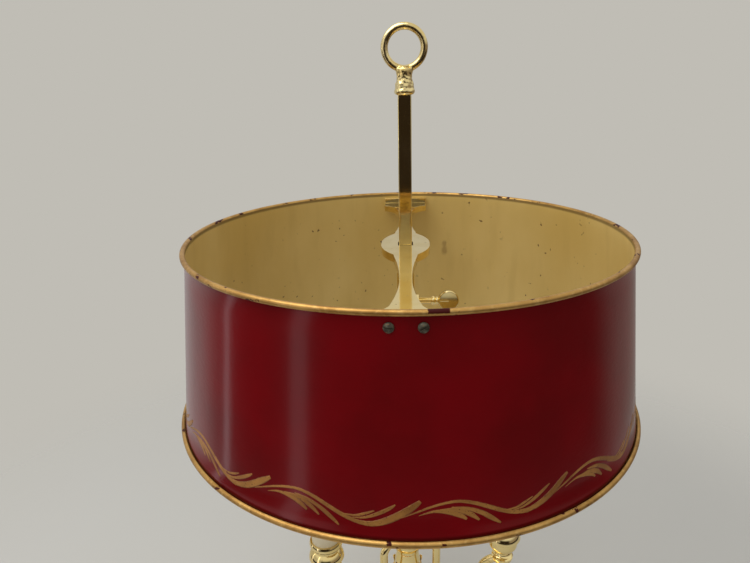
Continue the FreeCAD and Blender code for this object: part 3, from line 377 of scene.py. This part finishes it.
def spun(mesh, profile, steps, closed=False, material=0):  # a turned shape round the Z axis
    points = [mesh.verts.new((r * mm, 0, z * mm)) for r, z in profile]
    pairs = list(zip(points, points[1:])) + ([(points[-1], points[0])] if closed else [])
    edges = [mesh.edges.new(pair) for pair in pairs]
    bmesh.ops.spin(mesh, geom=points + edges, cent=(0, 0, 0), axis=(0, 0, 1), angle=turn,
                   steps=steps, use_merge=True)
    bmesh.ops.remove_doubles(mesh, verts=mesh.verts, dist=joinUnder)
    for face in mesh.faces:
        face.material_index = material


def laid(mesh, axis, place):  # a spun shape a quarter turn round an axis, and moved
    bmesh.ops.rotate(mesh, verts=mesh.verts, cent=(0, 0, 0),
                     matrix=Matrix.Rotation(turn / 4, 3, axis))
    bmesh.ops.translate(mesh, verts=mesh.verts, vec=place)


def cadCopy(node):  # a CAD node's mesh with its triangles joined into whole faces
    mesh = bmesh.new()
    mesh.from_mesh(frame["nodes"][node].data)
    bmesh.ops.remove_doubles(mesh, verts=mesh.verts, dist=2 * joinUnder)
    bmesh.ops.dissolve_limit(mesh, angle_limit=math.radians(0.6), verts=mesh.verts,
                             edges=mesh.edges)
    return mesh


def soften(mesh, width, limit):  # round the edges where faces turn by more than limit
    sharp = [e for e in mesh.edges if e.is_manifold and e.calc_face_angle() > math.radians(limit)]
    bmesh.ops.bevel(mesh, geom=sharp, offset=width * mm, affect="EDGES", segments=2, profile=0.5,
                    material=-1, clamp_overlap=True)


# Shade: sheet with a rolled rim at each end and a hem over the lower one, in mm. The gold
# starts so far from a curl's middle and so far out from the sheet

shade = {
    "top": (167.4, 451.05), "bottom": (181.9, 314.15), "sheet": 0.6,
    "topCurl": (1.35, 1.95), "bottomCurl": (1.55, 2.15), "curlSteps": (10, 18),
    "hemAt": 318.7, "hemStep": 0.28, "hemSlope": 0.4, "hemFoot": 1.2,
    "topGold": (2.2, 0.2), "bottomGold": (2.3, 0.6), "goldInside": 0.45,
    "outside": (330, 450, 12), "inside": (440, 320, -12), "steps": 288,
}


def wallRadius(z):  # outside of the slanting sheet
    (topR, topZ), (bottomR, bottomZ) = shade["top"], shade["bottom"]
    return bottomR + (topR - bottomR) * (z - bottomZ) / (topZ - bottomZ)


def shadeSkin():
    (topR, topZ), (bottomR, bottomZ) = shade["top"], shade["bottom"]
    topIn, topOut = shade["topCurl"]
    lowIn, lowOut = shade["bottomCurl"]
    coarse, fine = shade["curlSteps"]
    hem, step, sheet = shade["hemAt"], shade["hemStep"], shade["sheet"]
    fold = hem - shade["hemSlope"]
    profile = [(bottomR + step, bottomZ + shade["hemFoot"]), (wallRadius(fold) + step, fold)]
    profile += [(wallRadius(hem), hem)]
    profile += [(wallRadius(z), z) for z in range(*shade["outside"])]
    profile += arc(topR + topIn, topZ, topIn, 180, -90, coarse)
    profile += arc(topR + topIn, topZ, topOut, -90, 180, fine)
    profile += [(wallRadius(z) - sheet, z) for z in range(*shade["inside"])]
    profile += arc(bottomR + lowIn, bottomZ, lowOut, 180, 450, fine)
    profile += arc(bottomR + lowIn, bottomZ, lowIn, 450, 180, coarse)
    mesh = bmesh.new()
    spun(mesh, profile, shade["steps"], closed=True)
    (topDeep, topFrom), (bottomDeep, bottomFrom) = shade["topGold"], shade["bottomGold"]
    for face in mesh.faces:  # 0 is lacquer, 1 the paint inside, 2 the gold of the rims
        middle = face.calc_center_median() / mm
        height = middle.z
        out = math.hypot(middle.x, middle.y) - wallRadius(height)
        nearTop = height > topZ - topDeep and out > -shade["goldInside"]
        nearBottom = height < bottomZ + bottomDeep
        if nearTop and (out > topFrom or height > topZ):
            face.material_index = 2
        elif nearBottom and (out > bottomFrom or height < bottomZ):
            face.material_index = 2
        elif out < -sheet / 2:
            face.material_index = 1
    return done("shade_skin", mesh, "shade", [redLacquer, goldPaint, rimGold],
                ["shade_shell"], 40)


# Gilt scroll, in mm and degrees. Each point of a stroke is its angle from the crest, its
# height from the datum and its width there

scroll = {
    "repeats": 12, "firstCrest": -22.5, "datum": 453, "seed": 7,
    "drift": 0.4, "wander": 0.12, "swell": (0.88, 1.12), "thinnest": 0.3,
    "proud": 0.13, "sunk": 0.17, "bury": 0.02, "brushSides": 8, "brushCuts": 15,
}
strokes = {
    "vine": [
        (-9, -123.2, 0.5), (-6, -119.4, 1.3), (-3, -115.8, 1.8), (0, -113.7, 2.0),
        (2.4, -113.6, 2.3), (5, -115.9, 2.8), (7.8, -119.8, 3.2), (10.6, -124, 3.2),
        (13.2, -126.8, 3.0), (15.6, -128, 2.6)],
    "leaf": [
        (8, -121, 0.5), (10.5, -124.5, 1.5), (13.3, -127, 2.6), (15.8, -127.6, 3.4),
        (18.5, -125.2, 4.4), (21, -121.2, 4.6), (23.2, -116.4, 4.2), (25, -112.3, 2.2)],
    "upperLong": [
        (12.4, -125, 0.6), (14.6, -124.4, 1.6), (17, -121.4, 2.6), (19.2, -117.4, 2.4),
        (20.4, -114.9, 1.0)],
    "upperShort": [
        (10.6, -123.2, 0.5), (12.8, -123.4, 1.4), (14.8, -121.6, 1.8), (16.6, -119.2, 0.8)],
    "lowFirst": [
        (-5.5, -121.4, 0.4), (-2.8, -119, 1.6), (0, -119.8, 3.0), (2.2, -122.6, 3.0),
        (3.4, -125.4, 1.4)],
    "lowSecond": [(-1.5, -118.3, 0.5), (1.6, -119, 2.6), (4, -122.4, 3.2), (5.8, -127.2, 1.2)],
    "lowThird": [
        (0.6, -116.9, 0.6), (3.6, -118.6, 2.2), (6.2, -122.4, 3.0), (8.2, -127, 3.0),
        (9.9, -131.2, 1.3)],
}


def smoothRun(points, at):  # a smooth curve through the points, at from 0 to 1
    last = len(points) - 1
    spot = min(at * last, last - 0.0001)
    index = int(spot)
    part = spot - index
    a, b, c, d = (Vector(points[min(max(index + k, 0), last)]) for k in (-1, 0, 1, 2))
    return 0.5 * (2 * b + (c - a) * part + (2 * a - 5 * b + 4 * c - d) * part ** 2
                  + (3 * b - a - 3 * c + d) * part ** 3)


def onWall(angle, height, lift):  # a spot on the shade's outside, lifted off it
    flat = math.radians(angle)
    out = Vector((math.sin(flat), -math.cos(flat), 0))
    return out * (wallRadius(height) + lift) * mm + Vector((0, 0, height * mm))


def scrollBrush():  # a straight stick, one long, that is bent to the path of every stroke
    brush = bmesh.new()
    bmesh.ops.create_cone(brush, cap_ends=True, segments=scroll["brushSides"], radius1=1,
                          radius2=1, depth=1)
    long = [e for e in brush.edges if abs(e.verts[0].co.z - e.verts[1].co.z) > 0.5]
    bmesh.ops.subdivide_edges(brush, edges=long, cuts=scroll["brushCuts"], use_grid_fill=False)
    data = bpy.data.meshes.new("brush")
    brush.to_mesh(data)
    brush.free()
    return data


def giltScroll():
    brush = scrollBrush()
    steady = random.Random(scroll["seed"])
    wander, nudge = scroll["wander"], 0.01
    mesh = bmesh.new()
    uv = mesh.loops.layers.uv.new("brush")
    for repeat in range(scroll["repeats"]):
        crest = scroll["firstCrest"] + repeat * 360 / scroll["repeats"]
        for points in strokes.values():
            drift = steady.uniform(-scroll["drift"], scroll["drift"])
            swell = steady.uniform(*scroll["swell"])
            path = [(crest + a + steady.uniform(-wander, wander), scroll["datum"] + z + drift,
                     w * swell) for a, z, w in points]
            known = len(mesh.verts), len(mesh.faces)
            mesh.from_mesh(brush)
            mesh.verts.ensure_lookup_table()
            mesh.faces.ensure_lookup_table()
            for face in mesh.faces[known[1]:]:
                for loop in face.loops:
                    loop[uv].uv = (loop.vert.co.x / 2 + 0.5, loop.vert.co.z + 0.5)
            for vert in mesh.verts[known[0]:]:
                side, up, at = vert.co.x, vert.co.y, vert.co.z + 0.5
                here, ahead, behind = (smoothRun(path, min(max(at + k, 0), 1))
                                       for k in (0, nudge, -nudge))
                perDegree = math.radians(wallRadius(here.y))
                along = Vector(((ahead.x - behind.x) * perDegree, ahead.y - behind.y))
                along.normalize()
                half = max(here.z, scroll["thinnest"]) / 2
                angle = here.x - along.y * side * half / perDegree
                height = here.y + along.x * side * half
                lift = (scroll["proud"] if up > 0 else scroll["sunk"]) * up - scroll["bury"]
                vert.co = onWall(angle, height, lift)
    return done("gilt_scroll", mesh, "shade", [gilt], sharp=180)


shadeSkin()
giltScroll()
print("shade: done")


# Square-edged metal with its edges rounded as a buffing wheel leaves them

softEdges = {
    "shade_bar": ("cross_bar", 0.45, "shade"),
    "slide_sleeve": ("sliding_sleeve", 0.3, "shade"),
    "square_rod": ("upright_rod", 0.15, "lamp"),
}
for node, (name, width, body) in softEdges.items():
    mesh = cadCopy(node)
    soften(mesh, width, 30)
    done(name, mesh, body, [brightBrass], [node], flatOver=60)
print("bar, sleeve and rod: done")


# Cast ring on top of the rod, in mm. The neck's profile starts at its foot

ring = {
    "foot": 555.3, "middle": 587.7, "reach": 14.3, "section": 2.65, "voxel": 0.36,
    "flatFrom": 13, "flatOver": 7, "flatBy": 0.35,
    "lumps": 0.5, "lumpSize": 3.4, "lumpsAt": 9, "least": 0.12, "seat": 0.4,
    "neck": [(0, 0), (6.0, 0), (6.9, 0.5), (7.6, 1.6), (7.7, 2.6), (7.3, 3.6), (7.0, 4.4),
             (6.9, 5.6), (6.7, 7.0), (6.2, 8.8), (5.8, 10.6), (5.6, 12.6), (5.8, 14.6),
             (6.4, 16.6), (6.6, 18.2), (4.8, 20.0), (0, 20.2)],
}


def remade(mesh, *modifiers):  # the mesh after its modifiers, as a new bmesh
    data = bpy.data.meshes.new("raw")
    mesh.to_mesh(data)
    mesh.free()
    raw = bpy.data.objects.new("raw", data)
    bpy.context.scene.collection.objects.link(raw)
    for kind, settings in modifiers:
        modifier = raw.modifiers.new(kind.lower(), kind)
        for name, value in settings.items():
            setattr(modifier, name, value)
    made = bmesh.new()
    made.from_object(raw, bpy.context.evaluated_depsgraph_get())
    bpy.data.objects.remove(raw)
    bpy.data.meshes.remove(data)
    return made


def ringFinial():
    mesh = bmesh.new()
    spun(mesh, ring["neck"], 48)
    for vert in mesh.verts:  # the neck flattens towards the ring
        over = vert.co.z / mm - ring["flatFrom"]
        if over > 0:
            vert.co.y *= 1 - ring["flatBy"] * over / ring["flatOver"]
        vert.co.z += ring["foot"] * mm
    middle = Vector((0, 0, ring["middle"] * mm))
    out = Vector((ring["reach"] * mm, 0, 0))
    section = bmesh.ops.create_circle(mesh, segments=24, radius=ring["section"] * mm,
                                      matrix=Matrix.Translation(middle + out))["verts"]
    edges = list(dict.fromkeys(e for v in section for e in v.link_edges))
    bmesh.ops.spin(mesh, geom=section + edges, cent=middle, axis=(0, 1, 0), angle=turn, steps=96,
                   use_merge=True)
    bmesh.ops.remove_doubles(mesh, verts=mesh.verts, dist=joinUnder)
    bmesh.ops.recalc_face_normals(mesh, faces=mesh.faces)
    mesh = remade(mesh, ("REMESH", {"mode": "VOXEL", "voxel_size": ring["voxel"] * mm}),
                  ("SMOOTH", {"iterations": 8, "factor": 0.6}))
    mesh.normal_update()
    size, least = ring["lumpSize"] * mm, ring["least"]
    for vert in mesh.verts:  # lumps of the casting, deepest on the neck and none at its seat
        height = vert.co.z / mm - ring["foot"]
        near = max(0, 1 - abs(height - ring["lumpsAt"]) / ring["lumpsAt"])
        spot = vert.co / size
        lump = noise.noise(spot) + 0.6 * noise.noise(2 * spot + Vector((5, 1, 3)))
        if height > ring["seat"]:
            vert.co += vert.normal * lump * ring["lumps"] * (least + (1 - least) * near) * mm
    return done("cast_ring", mesh, "lamp", [castBrass], ["ring_finial"], 60)


# Thumb screw, in mm: threaded shank, two beads and a coin to turn. The beads are radius and
# distance from the rod's middle, the coin's edge is inset from its radius and from its face

thumb = {
    "axis": 394.7, "tip": 6.6, "collar": 21.0, "core": 2.2, "crest": 2.58, "root": 0.05,
    "pitch": 0.85, "crestWidth": (0.42, 0.58), "threadFrom": 8.0, "threadSteps": 24,
    "coinAt": 34.7, "coin": 8.3, "half": 1.9,
    "coinEdge": [(1.5, 0.22), (1.1, 0), (0.45, 0), (0.08, 0.4)],
    "beads": [(2.2, 20.6), (3.3, 20.9), (3.7, 21.5), (3.7, 22.4), (3.3, 23.2), (2.5, 23.9),
              (2.9, 24.3), (3.26, 24.9), (3.26, 25.5), (2.8, 26.2), (1.95, 26.8), (1.8, 27.6),
              (1.85, 34.7), (0, 34.7)],
}


def thumbScrew():
    height = thumb["axis"] * mm
    mesh = bmesh.new()
    spun(mesh, [(0, thumb["tip"]), (thumb["core"], thumb["tip"])] + thumb["beads"], 48)
    laid(mesh, "Y", (0, 0, height))
    first, pitch, steps = thumb["threadFrom"], thumb["pitch"], thumb["threadSteps"]
    turns = int((thumb["collar"] - first) / pitch)
    root = thumb["core"] - thumb["root"]
    wave = [(0, root)] + [(share, thumb["crest"]) for share in thumb["crestWidth"]] + [(1, root)]
    points = [mesh.verts.new(((first + pitch * x) * mm, 0, height + r * mm)) for x, r in wave]
    edges = [mesh.edges.new(pair) for pair in zip(points, points[1:])]
    bmesh.ops.spin(mesh, geom=points + edges, cent=(0, 0, height), axis=(1, 0, 0),
                   dvec=(pitch * mm / steps, 0, 0), angle=turn * turns, steps=steps * turns,
                   use_merge=False)
    coin = bmesh.new()
    radius, half = thumb["coin"], thumb["half"]
    face = [(0, half - thumb["coinEdge"][0][1])]
    face += [(radius - inset, half - drop) for inset, drop in thumb["coinEdge"]]
    spun(coin, face + [(radius, 0)] + [(r, -z) for r, z in reversed(face)], 72, material=1)
    laid(coin, "X", (thumb["coinAt"] * mm, 0, height))
    data = bpy.data.meshes.new("coin")
    coin.to_mesh(data)
    coin.free()
    mesh.from_mesh(data)
    return done("thumb_wheel", mesh, "thumb", [brightBrass, castBrass],
                ["thumb_screw"], 40)


# Slotted screws in the shade, in mm, each turned by some degrees as it was left. A screw is
# picked by the sign of its X and of its Y

screws = {
    "turns": {(1, -1): 117, (-1, -1): 86, (1, 1): 35, (-1, 1): -50},
    "x": 9.25, "y": 168.04, "z": 442.5, "lean": 0.1059, "edge": 0.1, "limit": 35,
}


def slottedScrews():
    mesh = cadCopy("shade_screws")
    for (side, end), degrees in screws["turns"].items():
        one = [v for v in mesh.verts if v.co.x * side > 0 and v.co.y * end > 0]
        middle = Vector((side * screws["x"], end * screws["y"], screws["z"])) * mm
        lean = math.hypot(middle.x, middle.y) * screws["lean"]
        out = Vector((middle.x, middle.y, lean)).normalized()
        bmesh.ops.rotate(mesh, verts=one, cent=middle,
                         matrix=Matrix.Rotation(math.radians(degrees), 3, out))
    soften(mesh, screws["edge"], screws["limit"])
    return done("slotted_screws", mesh, "shade", [darkScrew], ["shade_screws"],
                screws["limit"])


ringFinial()
thumbScrew()
slottedScrews()
print("ring, thumb screw and screws: done")


# Acanthus leaves standing round the foot of the column's vase, long and short in turn, in mm

leaves = {
    "count": 16, "low": 100.5, "long": 30.0, "short": 21.0, "half": 4.1, "thick": 0.8,
    "lift": 0.3, "rib": 0.55, "vein": 0.14, "edge": 0.5,
    "lobes": 4, "lobeDepth": 0.2, "curl": 2.0, "curlFrom": 0.72, "droop": 1.5,
    "across": 8, "along": 28,
}


def columnLeaves():
    vertices = frame["nodes"]["column_vase"].data.vertices
    rows = [(v.co.z / mm, math.hypot(v.co.x, v.co.y) / mm) for v in vertices]

    def vase(height):  # the vase's radius near a height, looked for ever further off
        for reach in (0.8, 1.6, 3.2, 6.4):
            near = [r for z, r in rows if abs(z - height) < reach]
            if near:
                return max(near)

    mesh = bmesh.new()
    waves = turn * leaves["lobes"]
    for index in range(leaves["count"]):
        tall = leaves["long"] if index % 2 else leaves["short"]
        known = len(mesh.verts)
        bmesh.ops.create_grid(mesh, x_segments=leaves["across"], y_segments=leaves["along"],
                              size=1)
        mesh.verts.ensure_lookup_table()
        middle = index * turn / leaves["count"]
        for vert in mesh.verts[known:]:  # side is -1 to 1 across a leaf, at is 0 to 1 up it
            side, at = vert.co.x, vert.co.y / 2 + 0.5
            off = abs(side)
            lobe = 1 + leaves["lobeDepth"] * math.sin(waves * (at + 0.1)) * min(1, at * 6)
            half = leaves["half"] * math.sin(math.pi * (0.16 + 0.80 * at)) ** 0.7 * lobe
            bent = max(0, (at - leaves["curlFrom"]) / (1 - leaves["curlFrom"])) ** 2
            height = leaves["low"] + tall * (at + 0.05 * off * (1 - at)) - leaves["droop"] * bent
            wall = vase(height)
            vein = leaves["vein"] * math.cos(waves * (at - 0.16 * off))
            out = leaves["lift"] + leaves["rib"] * (1 - off) ** 2 + vein + leaves["curl"] * bent
            reach = (wall + out - leaves["edge"] * side ** 4) * mm
            angle = middle + side * half / wall
            vert.co = (reach * math.cos(angle), reach * math.sin(angle), height * mm)
    bmesh.ops.recalc_face_normals(mesh, faces=mesh.faces)
    bmesh.ops.solidify(mesh, geom=mesh.faces[:], thickness=leaves["thick"] * mm)
    return done("column_leaves", mesh, "lamp", [castBrass], sharp=50)


columnLeaves()
print("leaves: done")


# Floor and room, in metres. The room's sides are seen only in reflections

stage = {
    "wall": srgb(192, 189, 181), "ground": srgb(206, 205, 200), "floorRadius": 0.9,
    "fade": (0.45, 0.85), "light": (0.5, 0.495, 0.485, 1), "sides": (0.5, 0.4925, 0.475, 1),
    "ceiling": (0.78, 0.77, 0.72, 1), "rightSide": (0.26, 0.22, 0.19, 1),
    "cameraSide": (0.024, 0.017, 0.013, 1),
}


def room():
    world = bpy.data.worlds.new("studio")
    bpy.context.scene.world = world
    p = Paint(world)
    rays = ("Is Camera Ray", "Is Glossy Ray", "Is Transmission Ray")
    seen, glossy, through = (p.node("LightPath", output=name) for name in rays)
    way = p.node("TexCoord", output="Generated")  # the direction that a ray looks in
    x, y, z = (p.node("SeparateXYZ", inputs={0: way}, output=axis) for axis in "XYZ")
    low = z.rise(-0.09, -0.16)
    wide = y.rise(0.40, 0.05)
    narrow = y.rise(-0.80, -0.93)
    cameraSide = (wide * low + narrow * (1 - low)) * z.rise(0.34, 0.12) * z.rise(-0.85, -0.65)
    rightSide = x.rise(0.2, 0.6) * z.rise(0.30, 0.05)
    shine = p.mix(z.rise(0.2, 0.5), stage["sides"], stage["ceiling"])
    shine = p.mix(rightSide, shine, stage["rightSide"])
    shine = p.mix(cameraSide, shine, stage["cameraSide"])
    colour = p.mix(glossy, stage["light"], shine)
    colour = p.mix(seen + through * (1 - seen), colour, stage["wall"])
    p.tree.links.new(colour.socket, p.tree.nodes["Background"].inputs["Color"])


def floor():  # a pale disc that fades out towards its edge
    mesh = bmesh.new()
    bmesh.ops.create_circle(mesh, cap_ends=True, segments=96, radius=stage["floorRadius"])
    data = bpy.data.meshes.new("floor")
    mesh.to_mesh(data)
    mesh.free()
    p = paint("paleFloor", Roughness=0.8, Base_Color=stage["ground"])
    x, y = p.axis("X"), p.axis("Y")
    reach = p.node("Math", {"operation": "SQRT"}, {0: x * x + y * y})
    blend = p.node("MixShader", inputs={
        0: reach.rise(*stage["fade"]), 1: Wire(p, p.shader.outputs[0]),
        2: p.node("BsdfTransparent")})
    p.tree.links.new(blend.socket, p.tree.nodes["Material Output"].inputs["Surface"])
    data.materials.append(p.owner)
    piece = bpy.data.objects.new("floor", data)
    bpy.context.scene.collection.objects.link(piece)


# Lamps, in metres and watts: two tall ones on the left and a broad one overhead

lamps = {
    "window": {"at": (-1.02, -0.96, 0.3), "aim": (0, 0, 0.3), "size": (0.20, 1.8),
               "watts": 1.1, "tint": (1, 0.93, 0.95)},
    "doorway": {"at": (-1.42, -0.05, 0.3), "aim": (0, 0, 0.3), "size": (0.07, 1.8),
                "watts": 0.9, "tint": (1, 0.94, 0.98)},
    "overhead": {"at": (-0.55, -0.3, 1.65), "aim": (0, 0, 0.4), "size": (1.2, 1.2),
                 "watts": 12.5, "tint": (1, 1, 0.98)},
}


def areaLamp(name, at, aim, size, watts, tint):
    data = bpy.data.lights.new(name, "AREA")
    data.shape = "RECTANGLE"
    data.size, data.size_y = size
    data.energy = watts
    data.color = tint
    lamp = bpy.data.objects.new(name, data)
    bpy.context.scene.collection.objects.link(lamp)
    lamp.location = at
    lamp.rotation_euler = (Vector(aim) - Vector(at)).to_track_quat("-Z", "Y").to_euler()


# Camera, fitted to the shade's two rims: place in metres, turns in radians, lens in mm

view = {
    "at": (0, -0.4602, 0.5675), "down": 0.32699, "yaw": -0.05407, "roll": 0.02405, "lens": 28.8,
}


def camera():
    down, yaw, roll = view["down"], view["yaw"], view["roll"]
    level = Vector((math.sin(yaw), math.cos(yaw), 0)) * math.cos(down)
    ahead = level - Vector((0, 0, math.sin(down)))
    right = Vector((math.cos(yaw), -math.sin(yaw), 0))
    under = ahead.cross(right)
    across = math.cos(roll) * right + math.sin(roll) * under
    below = math.cos(roll) * under - math.sin(roll) * right
    data = bpy.data.cameras.new("camera")
    data.lens = view["lens"]
    seen = bpy.data.objects.new("camera", data)
    bpy.context.scene.collection.objects.link(seen)
    turns = Matrix((across, -below, -ahead)).transposed().to_4x4()
    seen.matrix_world = Matrix.Translation(view["at"]) @ turns
    bpy.context.scene.camera = seen


room()
floor()
for name, lamp in lamps.items():
    areaLamp(name, **lamp)
camera()
bpy.context.scene.view_settings.view_transform = "Standard"
print("stage: done")
